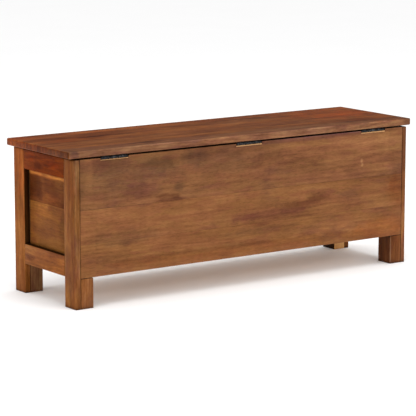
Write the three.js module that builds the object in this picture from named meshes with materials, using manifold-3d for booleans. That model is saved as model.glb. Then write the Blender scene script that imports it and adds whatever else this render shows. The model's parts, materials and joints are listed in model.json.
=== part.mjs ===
// Storage bench: a solid-wood chest on four legs whose hinged lid is also the seat.
// Millimetres, +Z up. The long side runs along X, the front faces -Y and the hinges are at the rear.
// The origin is on the floor, under the middle of the bench's overall box.
// Left and right are as seen from the front.

import * as THREE from "three";
import { mergeVertices } from "three/addons/utils/BufferGeometryUtils.js";
import Module from "manifold-3d";

// ---------- driving dimensions ----------
const HEIGHT = 400; // floor to seat
const LID_LENGTH = 1100;
const LID_DEPTH = 310;
const LID_THICKNESS = 18;
const LID_CORNER_RADIUS = 7; // in plan
const LID_EDGE_ROUND = 2; // on its top and bottom edges
const LID_GAP = 3.5; // between the case and the closed lid
const CASE_LENGTH = 1068;
const CASE_DEPTH = 300;
const LEG = 52; // legs are square, each an end stile with a block glued behind it
const LEG_ARRIS_RADIUS = 3;
const FRAME_THICKNESS = 15; // stiles and rails
const RAIL_WIDTH = 52;
const UNDER_CLEARANCE = 78; // floor to the bottom rails
const PANEL_THICKNESS = 12;
const PANEL_LAP = 15; // how far a panel runs behind each rail
const PANEL_PLAY = 0.5; // room left for the wood to move
const REAR_PANEL_THICKNESS = 18; // flush with the rear of the legs
const MUNTIN_WIDTH = 52;

const TENON_LENGTH = 20;
const TENON_THICKNESS = 5;
const TENON_SHOULDER = 8; // the rail's width that is cut away above and below its tenon
const JOINT_CLEARANCE = 0.25;

const FLOOR_THICKNESS = 8;
const CLEAT = 18; // square battens that carry the floor
const CLEAT_BASE = UNDER_CLEARANCE + 2;

const BATTEN_WIDTH = 40;
const BATTEN_LENGTH = 230;
const BATTEN_THICKNESS = 15;
const BATTEN_X = 330; // from the middle batten to each outer one
const BATTEN_MIDDLE_Y = 3;
const BATTEN_BEVEL = 6; // on the two lower ends

const BUMPER_DIAMETER = 12;

const HINGE_LENGTH = 76;
const HINGE_SPACING = 416; // from the centre hinge to each outer one
const KNUCKLE_RADIUS = 4;
const KNUCKLE_COUNT = 3;
const KNUCKLE_GAP = 0.4; // between neighbouring knuckles
const LEAF_THICKNESS = 1.8;
const LEAF_WIDTH = 13.5; // from the pin's axis
const LEAF_CORNER_RADIUS = 2;
const PIN_RADIUS = 2;
const PIN_BORE_RADIUS = 2.15;
const PIN_HEAD_RADIUS = 3;
const PIN_HEAD_LENGTH = 1.2;
const PIN_INSET = 3; // the axis lies this far in front of the case's rear

const SCREW_X = 26; // outer screws, from the hinge's middle
const SCREW_Y = -9; // from the pin's axis
const MIDDLE_SCREW_Y = -8.5;
const SCREW_HEAD_RADIUS = 2.9;
const SCREW_RADIUS = 1.5;
const SCREW_LENGTH = 13.5;
const SCREW_TIP = 2.5;
const SCREW_HOLE_RADIUS = 1.8;
const COUNTERSINK_RADIUS = 3.2;

const MORTISE_LENGTH = 83;
const MORTISE_DEPTH = 5;
const MORTISE_BEVEL = [3, 4]; // across and down, on the mortise floor's rear edge

// ---------- places worked out from them ----------
const KNUCKLE_OUTSET = KNUCKLE_RADIUS - PIN_INSET;
const REAR = (LID_DEPTH + KNUCKLE_OUTSET) / 2 - KNUCKLE_OUTSET; // y of the case's and the lid's rear
const LID_FRONT = REAR - LID_DEPTH;
const FRONT = REAR - CASE_DEPTH;
const END = CASE_LENGTH / 2;
const END_INNER = END - FRAME_THICKNESS;
const LEG_INNER_X = END - LEG;
const FRONT_INNER = FRONT + FRAME_THICKNESS;
const LEG_INNER_FRONT = FRONT + LEG;
const LEG_INNER_REAR = REAR - LEG;
const REAR_PANEL_INNER = REAR - REAR_PANEL_THICKNESS;
const LID_UNDERSIDE = HEIGHT - LID_THICKNESS;
const CASE_TOP = LID_UNDERSIDE - LID_GAP;
const BOTTOM_RAIL_TOP = UNDER_CLEARANCE + RAIL_WIDTH;
const TOP_RAIL_BASE = CASE_TOP - RAIL_WIDTH;
const PANEL_BASE = BOTTOM_RAIL_TOP - PANEL_LAP;
const PANEL_TOP = TOP_RAIL_BASE + PANEL_LAP;
const FLOOR_BASE = CLEAT_BASE + CLEAT;
const MUNTIN_X = LEG_INNER_X / 3;
const PIN_Y = REAR - PIN_INSET;
const PIN_Z = LID_UNDERSIDE - JOINT_CLEARANCE - KNUCKLE_RADIUS;
const MORTISE_FLOOR = CASE_TOP - MORTISE_DEPTH;

const ROUND = 24; // facets of a knuckle or a pin
const SMALL_ROUND = 12; // facets of a screw
const HINGES = { left: -HINGE_SPACING, centre: 0, right: HINGE_SPACING };

// ---------- materials ----------
const material = (color, roughness, metalness) =>
  new THREE.MeshStandardMaterial({ color, roughness, metalness });
const frameWood = material(0x96592f, 0.45, 0);
const panelWood = material(0x8f5f3f, 0.45, 0);
const lidWood = material(0x7e4a2c, 0.4, 0);
const innerWood = material(0x9a7450, 0.7, 0);
const blackSteel = material(0x2b2b2d, 0.45, 0.9);
const screwSteel = material(0x3a3a3c, 0.4, 0.9);
const rubber = material(0x3a3029, 0.8, 0);

// ---------- solids ----------
const wasm = await Module();
wasm.setup();

function toSolid(geometry) {
  const bare = new THREE.BufferGeometry().setAttribute("position", geometry.getAttribute("position"));
  bare.setIndex(geometry.index);
  const merged = mergeVertices(bare, 1e-4);
  const mesh = new wasm.Mesh({
    numProp: 3,
    vertProperties: merged.attributes.position.array,
    triVerts: new Uint32Array(merged.index.array),
  });
  return new wasm.Manifold(mesh);
}

function toGeometry(solid) {
  const mesh = solid.getMesh();
  const geometry = new THREE.BufferGeometry();
  geometry.setAttribute("position", new THREE.BufferAttribute(mesh.vertProperties, 3));
  geometry.setIndex(new THREE.BufferAttribute(mesh.triVerts, 1));
  geometry.computeVertexNormals();
  return geometry;
}

const join = (first, ...others) =>
  toGeometry(others.reduce((sum, g) => sum.add(toSolid(g)), toSolid(first)));
const cut = (body, ...cutters) =>
  toGeometry(cutters.reduce((rest, g) => rest.subtract(toSolid(g)), toSolid(body)));

// A box from its lowest to its highest corner.
function box([x0, y0, z0], [x1, y1, z1]) {
  const geometry = new THREE.BoxGeometry(x1 - x0, y1 - y0, z1 - z0);
  return geometry.translate((x0 + x1) / 2, (y0 + y1) / 2, (z0 + z1) / 2);
}

// A rectangle whose corners have the radii given, from the lowest corner anticlockwise.
function roundedRectangle(x0, y0, x1, y1, [a, b, c, d]) {
  const shape = new THREE.Shape().moveTo(x0 + a, y0).lineTo(x1 - b, y0);
  if (b) shape.absarc(x1 - b, y0 + b, b, -Math.PI / 2, 0);
  shape.lineTo(x1, y1 - c);
  if (c) shape.absarc(x1 - c, y1 - c, c, 0, Math.PI / 2);
  shape.lineTo(x0 + d, y1);
  if (d) shape.absarc(x0 + d, y1 - d, d, Math.PI / 2, Math.PI);
  shape.lineTo(x0, y0 + a);
  if (a) shape.absarc(x0 + a, y0 + a, a, Math.PI, 1.5 * Math.PI);
  return shape;
}

function prism(shape, depth, curveSegments = 4) {
  return new THREE.ExtrudeGeometry(shape, { depth, bevelEnabled: false, curveSegments });
}

// A shape drawn in the YZ plane, extruded along X from x.
function prismAlongX(shape, x, depth, curveSegments) {
  const turn = new THREE.Matrix4().makeBasis(
    new THREE.Vector3(0, 1, 0),
    new THREE.Vector3(0, 0, 1),
    new THREE.Vector3(1, 0, 0),
  );
  return prism(shape, depth, curveSegments).applyMatrix4(turn).translate(x, 0, 0);
}

// A solid of revolution about Z. Points are [radius, z] from the bottom up, and start and end on the axis.
function turned(points, segments) {
  const profile = points.map(([radius, z]) => new THREE.Vector2(radius, z));
  return new THREE.LatheGeometry(profile, segments).rotateX(Math.PI / 2);
}

// Widens a box by a margin on the axes named, for the hole that a tenon goes into.
function grown([low, high], margin) {
  return box(low.map((v, i) => v - margin[i]), high.map((v, i) => v + margin[i]));
}

// The tenon on one end of a rail. along is 0, 1 or 2 for a rail that runs along X, Y or Z;
// its width lies along the axis across and its thickness along the third axis.
function tenon(low, high, along, across, end) {
  const third = 3 - along - across;
  const from = [...low];
  const to = [...high];
  from[across] += TENON_SHOULDER;
  to[across] -= TENON_SHOULDER;
  const middle = (low[third] + high[third]) / 2;
  from[third] = middle - TENON_THICKNESS / 2;
  to[third] = middle + TENON_THICKNESS / 2;
  if (end > 0) {
    from[along] = high[along];
    to[along] = high[along] + TENON_LENGTH;
  } else {
    to[along] = low[along];
    from[along] = low[along] - TENON_LENGTH;
  }
  return [from, to];
}

const MORTISE_MARGIN = [JOINT_CLEARANCE, JOINT_CLEARANCE, JOINT_CLEARANCE];

// A rail with a tenon at each end, and the two mortises that its neighbours need.
function tenonedRail(low, high, along, across) {
  const tenons = [tenon(low, high, along, across, -1), tenon(low, high, along, across, 1)];
  // The tenon starts a little inside the rail, so that the two join.
  const roots = tenons.map(([from, to], i) => {
    const start = [...from];
    const stop = [...to];
    if (i === 0) stop[along] += 1;
    else start[along] -= 1;
    return box(start, stop);
  });
  return {
    geometry: join(box(low, high), ...roots),
    mortises: tenons.map((t) => grown(t, MORTISE_MARGIN)),
  };
}

// ---------- the bench ----------
const bench = new THREE.Group();
const add = (name, geometry, look) => {
  const mesh = new THREE.Mesh(geometry, look);
  mesh.name = name;
  bench.add(mesh);
  return mesh;
};

// Both ends are alike: side is -1 for the left one and +1 for the right one.
function endFrame(side, name) {
  const span = (a, b) => (side > 0 ? [a, b] : [-b, -a]);
  const [x0, x1] = span(END_INNER, END);
  const rail = (z) =>
    tenonedRail([x0, LEG_INNER_FRONT, z], [x1, LEG_INNER_REAR, z + RAIL_WIDTH], 1, 2);
  const top = rail(TOP_RAIL_BASE);
  const bottom = rail(UNDER_CLEARANCE);
  add(`${name}_end_top_rail`, top.geometry, frameWood);
  add(`${name}_end_bottom_rail`, bottom.geometry, frameWood);

  // A stile's outer corner is the leg's, and is rounded.
  const r = LEG_ARRIS_RADIUS;
  const frontRadii = side > 0 ? [0, r, 0, 0] : [r, 0, 0, 0];
  const rearRadii = side > 0 ? [0, 0, r, 0] : [0, 0, 0, r];
  const frontStile = prism(roundedRectangle(x0, FRONT, x1, LEG_INNER_FRONT, frontRadii), CASE_TOP);
  const rearStile = prism(roundedRectangle(x0, LEG_INNER_REAR, x1, REAR, rearRadii), CASE_TOP);
  add(`${name}_end_front_stile`, cut(frontStile, top.mortises[0], bottom.mortises[0]), frameWood);
  add(`${name}_end_rear_stile`, cut(rearStile, top.mortises[1], bottom.mortises[1]), frameWood);

  const [p0, p1] = span(END_INNER - PANEL_THICKNESS, END_INNER);
  const panel = box(
    [p0, LEG_INNER_FRONT + PANEL_PLAY, PANEL_BASE],
    [p1, LEG_INNER_REAR - PANEL_PLAY, PANEL_TOP],
  );
  add(`${name}_end_panel`, panel, panelWood);
}

// The blocks that thicken the stiles into square legs. The rear ones are notched for the rear panel.
function legBlocks(side, name, railMortises) {
  const [x0, x1] = side > 0 ? [LEG_INNER_X, END_INNER] : [-END_INNER, -LEG_INNER_X];
  const frontBlock = box([x0, FRONT, 0], [x1, LEG_INNER_FRONT, CASE_TOP]);
  add(`front_${name}_leg_block`, cut(frontBlock, ...railMortises), frameWood);

  const shoulder = UNDER_CLEARANCE - PANEL_PLAY;
  const outline = new THREE.Shape()
    .moveTo(LEG_INNER_REAR, 0)
    .lineTo(REAR, 0)
    .lineTo(REAR, shoulder)
    .lineTo(REAR_PANEL_INNER, shoulder)
    .lineTo(REAR_PANEL_INNER, CASE_TOP)
    .lineTo(LEG_INNER_REAR, CASE_TOP);
  add(`rear_${name}_leg_block`, prismAlongX(outline, x0, x1 - x0), frameWood);
}

// The front's rails, muntins and panels. It returns the mortises that the leg blocks need at each end.
function frontFrame() {
  const rail = (z) =>
    tenonedRail([-LEG_INNER_X, FRONT, z], [LEG_INNER_X, FRONT_INNER, z + RAIL_WIDTH], 0, 2);
  const top = rail(TOP_RAIL_BASE);
  const bottom = rail(UNDER_CLEARANCE);

  const muntins = { left: -MUNTIN_X, right: MUNTIN_X };
  const muntinMortises = { top: [], bottom: [] };
  for (const [name, x] of Object.entries(muntins)) {
    const low = [x - MUNTIN_WIDTH / 2, FRONT, BOTTOM_RAIL_TOP];
    const high = [x + MUNTIN_WIDTH / 2, FRONT_INNER, TOP_RAIL_BASE];
    const muntin = tenonedRail(low, high, 2, 0);
    add(`front_${name}_muntin`, muntin.geometry, frameWood);
    muntinMortises.bottom.push(muntin.mortises[0]);
    muntinMortises.top.push(muntin.mortises[1]);
  }
  add("front_top_rail", cut(top.geometry, ...muntinMortises.top), frameWood);
  add("front_bottom_rail", cut(bottom.geometry, ...muntinMortises.bottom), frameWood);

  // Three panels between the leg blocks, meeting behind the muntins.
  const edges = [-LEG_INNER_X, -MUNTIN_X, MUNTIN_X, LEG_INNER_X];
  ["left", "centre", "right"].forEach((name, i) => {
    const low = [edges[i] + PANEL_PLAY, FRONT_INNER, PANEL_BASE];
    const high = [edges[i + 1] - PANEL_PLAY, FRONT_INNER + PANEL_THICKNESS, PANEL_TOP];
    add(`front_${name}_panel`, box(low, high), panelWood);
  });
  return {
    left: [top.mortises[0], bottom.mortises[0]],
    right: [top.mortises[1], bottom.mortises[1]],
  };
}

// The hole for one screw, from the leaf's face into the wood. up is +1 for the lid's screws.
function pilotHole(x, y, up) {
  const depth = KNUCKLE_RADIUS - LEAF_THICKNESS + SCREW_LENGTH + 0.5;
  const profile = [[0, -depth], [SCREW_HOLE_RADIUS, -depth], [SCREW_HOLE_RADIUS, 0], [0, 0]];
  const hole = turned(profile, SMALL_ROUND);
  if (up > 0) hole.rotateX(Math.PI);
  return hole.translate(x, y, PIN_Z);
}

// Screw places on a leaf, from the middle of the hinge's pin.
const SCREW_PLACES = [
  [-SCREW_X, SCREW_Y],
  [0, MIDDLE_SCREW_Y],
  [SCREW_X, SCREW_Y],
];

const pilotHoles = (up) =>
  Object.values(HINGES).flatMap((x) =>
    SCREW_PLACES.map(([dx, dy]) => pilotHole(x + dx, PIN_Y + dy, up)),
  );

// The notch that a hinge lies in. It is open at the top and the rear, and its floor's rear edge is bevelled.
function hingeNotch(x) {
  const over = 2;
  const [across, down] = MORTISE_BEVEL;
  const beyond = over * (down / across);
  const outline = new THREE.Shape()
    .moveTo(REAR_PANEL_INNER - over, MORTISE_FLOOR)
    .lineTo(REAR - across, MORTISE_FLOOR)
    .lineTo(REAR + over, MORTISE_FLOOR - down - beyond)
    .lineTo(REAR + over, CASE_TOP + over)
    .lineTo(REAR_PANEL_INNER - over, CASE_TOP + over);
  return prismAlongX(outline, x - MORTISE_LENGTH / 2, MORTISE_LENGTH);
}

function rearPanel() {
  const low = [-END_INNER, REAR_PANEL_INNER, UNDER_CLEARANCE + PANEL_PLAY];
  const board = box(low, [END_INNER, REAR, CASE_TOP]);
  const notches = Object.values(HINGES).map(hingeNotch);
  add("rear_panel", cut(board, ...notches, ...pilotHoles(-1)), panelWood);
}

// The floor lies on four cleats, notched round the legs.
function floorAndCleats() {
  const xs = { outer: END_INNER - PANEL_PLAY, inner: LEG_INNER_X - PANEL_PLAY };
  const front = { outer: FRONT_INNER + PANEL_PLAY, inner: LEG_INNER_FRONT + PANEL_PLAY };
  const rear = { outer: REAR_PANEL_INNER - PANEL_PLAY, inner: LEG_INNER_REAR - PANEL_PLAY };
  const right = [
    [xs.inner, front.outer],
    [xs.inner, front.inner],
    [xs.outer, front.inner],
    [xs.outer, rear.inner],
    [xs.inner, rear.inner],
    [xs.inner, rear.outer],
  ];
  const left = right.map(([x, y]) => [-x, y]).reverse();
  const outline = new THREE.Shape([...right, ...left].map(([x, y]) => new THREE.Vector2(x, y)));
  add("floor_board", prism(outline, FLOOR_THICKNESS).translate(0, 0, FLOOR_BASE), innerWood);

  const x = LEG_INNER_X - PANEL_PLAY;
  const cleat = ([x0, y0], [x1, y1]) => box([x0, y0, CLEAT_BASE], [x1, y1, FLOOR_BASE]);
  const long = (y) => cleat([-x, y], [x, y + CLEAT]);
  const short = (from) => cleat([from, front.inner], [from + CLEAT, rear.inner]);
  add("front_floor_cleat", long(FRONT_INNER), innerWood);
  add("rear_floor_cleat", long(REAR_PANEL_INNER - CLEAT), innerWood);
  add("left_floor_cleat", short(-END_INNER), innerWood);
  add("right_floor_cleat", short(END_INNER - CLEAT), innerWood);
}

// Soft pads on the front legs, which the closed lid rests on.
function bumpers() {
  const x = (LEG_INNER_X + END_INNER) / 2;
  const y = (FRONT + LEG_INNER_FRONT) / 2;
  const r = BUMPER_DIAMETER / 2;
  const height = LID_GAP - JOINT_CLEARANCE;
  const profile = [[0, 0], [r, 0], [r, height / 2], [r - 1.5, height], [0, height]];
  for (const [name, side] of Object.entries({ left: -1, right: 1 })) {
    add(`${name}_lid_bumper`, turned(profile, 16).translate(side * x, y, CASE_TOP), rubber);
  }
}

function lid() {
  const e = LID_EDGE_ROUND;
  const r = LID_CORNER_RADIUS - e;
  const x = LID_LENGTH / 2 - e;
  const shape = roundedRectangle(-x, LID_FRONT + e, x, REAR - e, [r, r, r, r]);
  const board = new THREE.ExtrudeGeometry(shape, {
    depth: LID_THICKNESS - 2 * e,
    bevelThickness: e,
    bevelSize: e,
    bevelSegments: 2,
    curveSegments: 4,
  }).translate(0, 0, LID_UNDERSIDE + e);
  add("lid_board", cut(board, ...pilotHoles(1)), lidWood);

  const top = LID_UNDERSIDE - JOINT_CLEARANCE;
  const base = top - BATTEN_THICKNESS;
  const y0 = BATTEN_MIDDLE_Y - BATTEN_LENGTH / 2;
  const y1 = BATTEN_MIDDLE_Y + BATTEN_LENGTH / 2;
  const side = new THREE.Shape()
    .moveTo(y0 + BATTEN_BEVEL, base)
    .lineTo(y1 - BATTEN_BEVEL, base)
    .lineTo(y1, base + BATTEN_BEVEL)
    .lineTo(y1, top)
    .lineTo(y0, top)
    .lineTo(y0, base + BATTEN_BEVEL);
  for (const [name, middle] of Object.entries({ left: -BATTEN_X, middle: 0, right: BATTEN_X })) {
    add(`${name}_lid_batten`, prismAlongX(side, middle - BATTEN_WIDTH / 2, BATTEN_WIDTH), innerWood);
  }
}

// ---------- hinges ----------
// A hinge is drawn round the middle of its pin, with the leaf that lies below the pin.

// One knuckle and the strip of leaf that it is rolled from.
function knuckle(from, to) {
  const joint = Math.PI + Math.asin((KNUCKLE_RADIUS - LEAF_THICKNESS) / KNUCKLE_RADIUS);
  const shape = new THREE.Shape()
    .moveTo(-KNUCKLE_RADIUS - 2, -KNUCKLE_RADIUS)
    .lineTo(0, -KNUCKLE_RADIUS)
    .absarc(0, 0, KNUCKLE_RADIUS, -Math.PI / 2, joint)
    .lineTo(-KNUCKLE_RADIUS - 2, LEAF_THICKNESS - KNUCKLE_RADIUS);
  shape.holes.push(new THREE.Path().absarc(0, 0, PIN_BORE_RADIUS, 0, 2 * Math.PI, true));
  return prismAlongX(shape, from, to - from, ROUND);
}

function countersunkHole([x, y]) {
  const face = LEAF_THICKNESS - KNUCKLE_RADIUS;
  const cone = COUNTERSINK_RADIUS - SCREW_HOLE_RADIUS;
  const profile = [
    [0, -KNUCKLE_RADIUS - 1],
    [SCREW_HOLE_RADIUS, -KNUCKLE_RADIUS - 1],
    [SCREW_HOLE_RADIUS, face - cone],
    [COUNTERSINK_RADIUS + 1, face + 1],
    [0, face + 1],
  ];
  return turned(profile, SMALL_ROUND).translate(x, y, 0);
}

// The leaf carries every second knuckle, starting at the first or the second.
function leaf(firstKnuckle) {
  const half = HINGE_LENGTH / 2;
  const clear = KNUCKLE_RADIUS + KNUCKLE_GAP;
  const radii = [LEAF_CORNER_RADIUS, LEAF_CORNER_RADIUS, 0, 0];
  const outline = roundedRectangle(-half, -LEAF_WIDTH, half, -clear, radii);
  const plate = prism(outline, LEAF_THICKNESS).translate(0, 0, -KNUCKLE_RADIUS);
  const pitch = HINGE_LENGTH / KNUCKLE_COUNT;
  const knuckles = [];
  for (let i = firstKnuckle; i < KNUCKLE_COUNT; i += 2) {
    const from = -half + i * pitch + (i ? KNUCKLE_GAP / 2 : 0);
    const to = -half + (i + 1) * pitch - (i < KNUCKLE_COUNT - 1 ? KNUCKLE_GAP / 2 : 0);
    knuckles.push(knuckle(from, to));
  }
  return cut(join(plate, ...knuckles), ...SCREW_PLACES.map(countersunkHole));
}

// The pin has a small domed head at each end.
function pin() {
  const half = HINGE_LENGTH / 2 + 0.3;
  const end = half + PIN_HEAD_LENGTH;
  const profile = [
    [0, -end],
    [PIN_HEAD_RADIUS - 1, -end],
    [PIN_HEAD_RADIUS, -half - 0.4],
    [PIN_HEAD_RADIUS, -half],
    [PIN_RADIUS, -half],
    [PIN_RADIUS, half],
    [PIN_HEAD_RADIUS, half],
    [PIN_HEAD_RADIUS, half + 0.4],
    [PIN_HEAD_RADIUS - 1, end],
    [0, end],
  ];
  return turned(profile, ROUND).rotateY(Math.PI / 2);
}

// A countersunk screw with a cross recess, head up, its head just under the leaf's face.
function screw([x, y]) {
  const top = LEAF_THICKNESS - KNUCKLE_RADIUS - 0.1;
  const neck = top - (SCREW_HEAD_RADIUS - SCREW_RADIUS);
  const point = top - SCREW_LENGTH;
  const profile = [
    [0, point],
    [SCREW_RADIUS, point + SCREW_TIP],
    [SCREW_RADIUS, neck],
    [SCREW_HEAD_RADIUS, top],
    [0, top],
  ];
  const arm = 1.7;
  const slot = 0.4;
  const depth = 0.9;
  const recess = join(
    box([-arm, -slot, top - depth], [arm, slot, top + 1]),
    box([-slot, -arm, top - depth], [slot, arm, top + 1]),
  );
  return cut(turned(profile, SMALL_ROUND), recess).translate(x, y, 0);
}

function hinge(name, x) {
  const place = (piece, geometry, look) => {
    add(`${name}_hinge_${piece}`, geometry, look).position.set(x, PIN_Y, PIN_Z);
  };
  // The lid's leaf is the same, turned over, and carries the knuckles in between.
  const over = (geometry) => geometry.rotateY(Math.PI);
  place("lower_leaf", leaf(0), blackSteel);
  place("upper_leaf", over(leaf(1)), blackSteel);
  place("pin", pin(), screwSteel);
  SCREW_PLACES.forEach((where, i) => {
    place(`lower_screw_${i + 1}`, screw(where), screwSteel);
    place(`upper_screw_${i + 1}`, over(screw(where)), screwSteel);
  });
}

const railMortises = frontFrame();
for (const [name, side] of Object.entries({ left: -1, right: 1 })) {
  endFrame(side, name);
  legBlocks(side, name, railMortises[name]);
}
rearPanel();
floorAndCleats();
bumpers();
lid();
for (const [name, x] of Object.entries(HINGES)) hinge(name, x);

export default bench;
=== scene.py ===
"""The storage bench as it looks: stained solid wood with a satin lacquer, and blackened steel hinges.

Metres, in the frame of the CAD model: +X to the bench's right, -Y its front, +Y its hinged rear, +Z up."""

import json
import math
import random

import bmesh
import bpy
import numpy as np
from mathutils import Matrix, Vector
from mathutils.bvhtree import BVHTree

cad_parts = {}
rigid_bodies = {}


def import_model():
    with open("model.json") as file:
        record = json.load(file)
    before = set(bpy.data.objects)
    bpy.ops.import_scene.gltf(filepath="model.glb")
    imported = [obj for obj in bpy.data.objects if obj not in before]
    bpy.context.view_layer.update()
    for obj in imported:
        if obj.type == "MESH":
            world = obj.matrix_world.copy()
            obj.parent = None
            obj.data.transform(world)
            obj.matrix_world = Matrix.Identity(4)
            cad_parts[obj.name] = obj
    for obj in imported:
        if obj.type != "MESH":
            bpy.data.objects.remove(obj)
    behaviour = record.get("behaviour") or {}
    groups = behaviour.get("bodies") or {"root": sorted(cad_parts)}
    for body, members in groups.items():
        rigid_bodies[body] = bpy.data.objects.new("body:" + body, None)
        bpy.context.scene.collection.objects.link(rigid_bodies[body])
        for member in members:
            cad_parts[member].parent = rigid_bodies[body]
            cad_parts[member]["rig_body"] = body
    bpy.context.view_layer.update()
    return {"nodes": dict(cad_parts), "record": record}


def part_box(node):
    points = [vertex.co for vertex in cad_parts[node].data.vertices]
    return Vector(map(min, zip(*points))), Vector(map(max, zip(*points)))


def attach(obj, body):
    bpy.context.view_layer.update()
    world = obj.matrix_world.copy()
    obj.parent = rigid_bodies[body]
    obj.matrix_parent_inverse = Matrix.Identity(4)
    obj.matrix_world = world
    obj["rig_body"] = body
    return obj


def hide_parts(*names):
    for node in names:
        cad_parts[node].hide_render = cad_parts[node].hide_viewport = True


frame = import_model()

MM = 0.001
X, Y, Z = range(3)

SLOTS = {part["node"]: part["material_slot"] for part in frame["record"]["subparts"]}

# ---------- how the pieces are shaped ----------
ARRIS = 1.2 * MM  # how far a sharp edge of wood is eased
TOP_ARRIS = 3.0 * MM  # the same, along the top of the end frames
SEAT_ARRIS = 3.2 * MM  # the same, round the lid, which people touch
SEAT_CORNER = 7 * MM  # the lid's corners, seen from above
METAL_ARRIS = 0.2 * MM
PAD_ARRIS = 0.4 * MM
GROOVE = 1.6 * MM  # an eased edge this near to another piece is half of a groove
SHARP_FROM = math.radians(28)  # edges that turn by less are part of a curve, and are left alone
FLAT_TO = math.radians(1)  # faces that turn by less are one flat face
SHORTEST_IN_PANEL = 4 * MM  # the rear panel's edges up to this length, in its hinge notches, stay sharp
SHORTEST_IN_METAL = 0.5 * MM


def low_corner(node):
    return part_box(node)[0]


def high_corner(node):
    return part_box(node)[1]


def middle_of(node):
    return (low_corner(node) + high_corner(node)) / 2


# Sizes that the CAD gives.
BENCH_MIDDLE = (middle_of("left_end_panel") + middle_of("right_end_panel")) / 2
UNDER_RAILS = low_corner("right_end_bottom_rail").z  # the height at which the legs come free
RECESS = (high_corner("right_end_bottom_rail").z, low_corner("right_end_top_rail").z)  # between the rails
LEG_INNER_X = low_corner("rear_right_leg_block").x  # the legs' inner faces
STILE_MIDDLE_X = middle_of("right_end_rear_stile").x
RIGHT_END = high_corner("right_end_rear_stile").x
RIGHT_END_PANEL = high_corner("right_end_panel").x
REAR = high_corner("rear_panel").y
SEAT = high_corner("lid_board").z

# ---------- how each piece of wood lies, and how it looks beside its neighbours ----------
TURNED_GRAIN = {"left_end_panel": Y, "right_end_panel": Y}  # elsewhere the grain runs along the longest side

# A board's place in its log is drawn at random: along the log, and beside and above or below its heart.
LOG_START = (5, 50)
HEART_BESIDE = (-0.05, 0.05)
HEART_DEPTH = (0.03, 0.09)

# A tint is what a board's red, green and blue are multiplied by beside those of its wood.
# Boards without a tint below draw how light they are, and how blue.
LIGHTNESS = (0.88, 1.08)
BLUENESS = (0.90, 1.05)

# Wide pieces are glued up from boards: their seams, and each board's tint, from the lowest board up.
BOARDS = {
    "lid_board": {
        "seams": [-0.106, -0.052, 0.000, 0.052, 0.103],
        "tints": [
            (1.12, 1.02, 0.92),
            (0.98, 0.98, 0.92),
            (1.10, 1.12, 0.98),
            (0.94, 0.98, 1.02),
            (1.06, 1.14, 1.08),
            (0.88, 1.10, 1.60),
        ],
        "end_tints": [
            (1.30, 1.12, 0.72),
            (1.02, 0.73, 0.46),
            (0.84, 0.54, 0.33),
            (0.72, 0.49, 0.33),
            (0.68, 0.54, 0.42),
            (0.64, 0.50, 0.34),
        ],
    },
    "rear_panel": {
        "seams": [0.163, 0.250],
        "tints": [(1.04, 1.01, 0.98), (1.02, 0.99, 1.00), (0.95, 0.94, 1.04)],
    },
    "right_end_panel": {
        "seams": [0.245],
        "tints": [(1.22, 1.04, 0.64), (0.56, 0.37, 0.24)],
    },
    "left_end_panel": {
        "seams": [0.212],
        "tints": [(1.05, 1.00, 0.90), (0.88, 0.82, 0.76)],
    },
    "front_left_panel": {"seams": [0.235], "tints": [(1.06, 1.04, 1.00), (0.90, 0.88, 0.90)]},
    "front_centre_panel": {"seams": [0.218], "tints": [(0.92, 0.88, 0.84), (1.08, 1.06, 1.02)]},
    "front_right_panel": {"seams": [0.228], "tints": [(1.05, 1.05, 1.05), (0.96, 0.93, 0.88)]},
    "floor_board": {
        "seams": [-0.061, 0.012, 0.078],
        "tints": [(1.10, 1.10, 1.08), (0.92, 0.90, 0.86), (1.12, 1.12, 1.12), (0.95, 0.96, 0.97)],
    },
}

# The tint of each single board that stands out.
TINTS = {
    "right_end_top_rail": (0.78, 0.45, 0.16),
    "right_end_bottom_rail": (1.12, 1.10, 0.88),
    "right_end_front_stile": (1.06, 1.02, 0.88),
    "right_end_rear_stile": (0.94, 0.97, 0.88),
    "left_end_rear_stile": (0.97, 1.08, 1.50),
    "left_end_front_stile": (1.25, 1.30, 1.40),
    "rear_left_leg_block": (0.56, 0.53, 0.68),
    "rear_right_leg_block": (0.92, 1.06, 1.30),
    "front_right_leg_block": (1.02, 1.50, 2.80),
    "front_left_leg_block": (1.04, 1.00, 0.92),
}

# ---------- natural marks in the wood, and painted light and shade ---
# Kinds of mark: what each multiplies the wood's colour by, and how ragged its outline is.
MARK_KINDS = {
    "streak": ((0.62, 0.55, 0.58), 1.4),
    "purple": ((0.80, 0.72, 0.86), 1.5),
    "violet": ((0.66, 0.60, 0.86), 0.7),
    "shade": ((0.80, 0.80, 0.82), 1.4),
    "dusky": ((0.93, 1.12, 1.75), 0.4),
    "grey": ((0.84, 0.86, 0.94), 1.5),
    "slate": ((0.68, 0.71, 0.80), 1.3),
    "knot": ((0.66, 0.57, 0.60), 1.4),
    "glow": ((1.18, 1.20, 1.18), 1.5),
    "ember": ((1.20, 1.00, 0.84), 1.6),
    "russet": ((0.92, 0.82, 0.74), 1.2),
    "amber": ((1.00, 0.84, 0.70), 1.2),
    "dusty": ((1.10, 1.27, 1.50), 1.2),
    "figure": ((1.40, 1.42, 1.28), 1.2),
    "rose": ((1.22, 1.38, 1.55), 0.3),
    "painted_highlight": ((3.10, 3.60, 3.60), 0.25),
    "lilac": ((0.98, 1.02, 1.55), 0.2),
    "fleck": ((1.52, 1.85, 1.85), 0.1),
    "worn_highlight": ((1.50, 2.40, 4.20), 0.1),
}

# Where marks lie: the axis across the face, the place on that axis, and how deep the marks reach.
ON_REAR = (Y, REAR, 0.02)
ON_END = (X, RIGHT_END, 0.02)
DEEP_IN_END = (X, RIGHT_END, 0.03)
ON_END_PANEL = (X, RIGHT_END_PANEL, 0.02)
ON_SEAT = (Z, SEAT, 0.03)
SKIN_OF_SEAT = (Z, SEAT + 3 * MM, 0.008)  # leaves the seat's edges as they are


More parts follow.
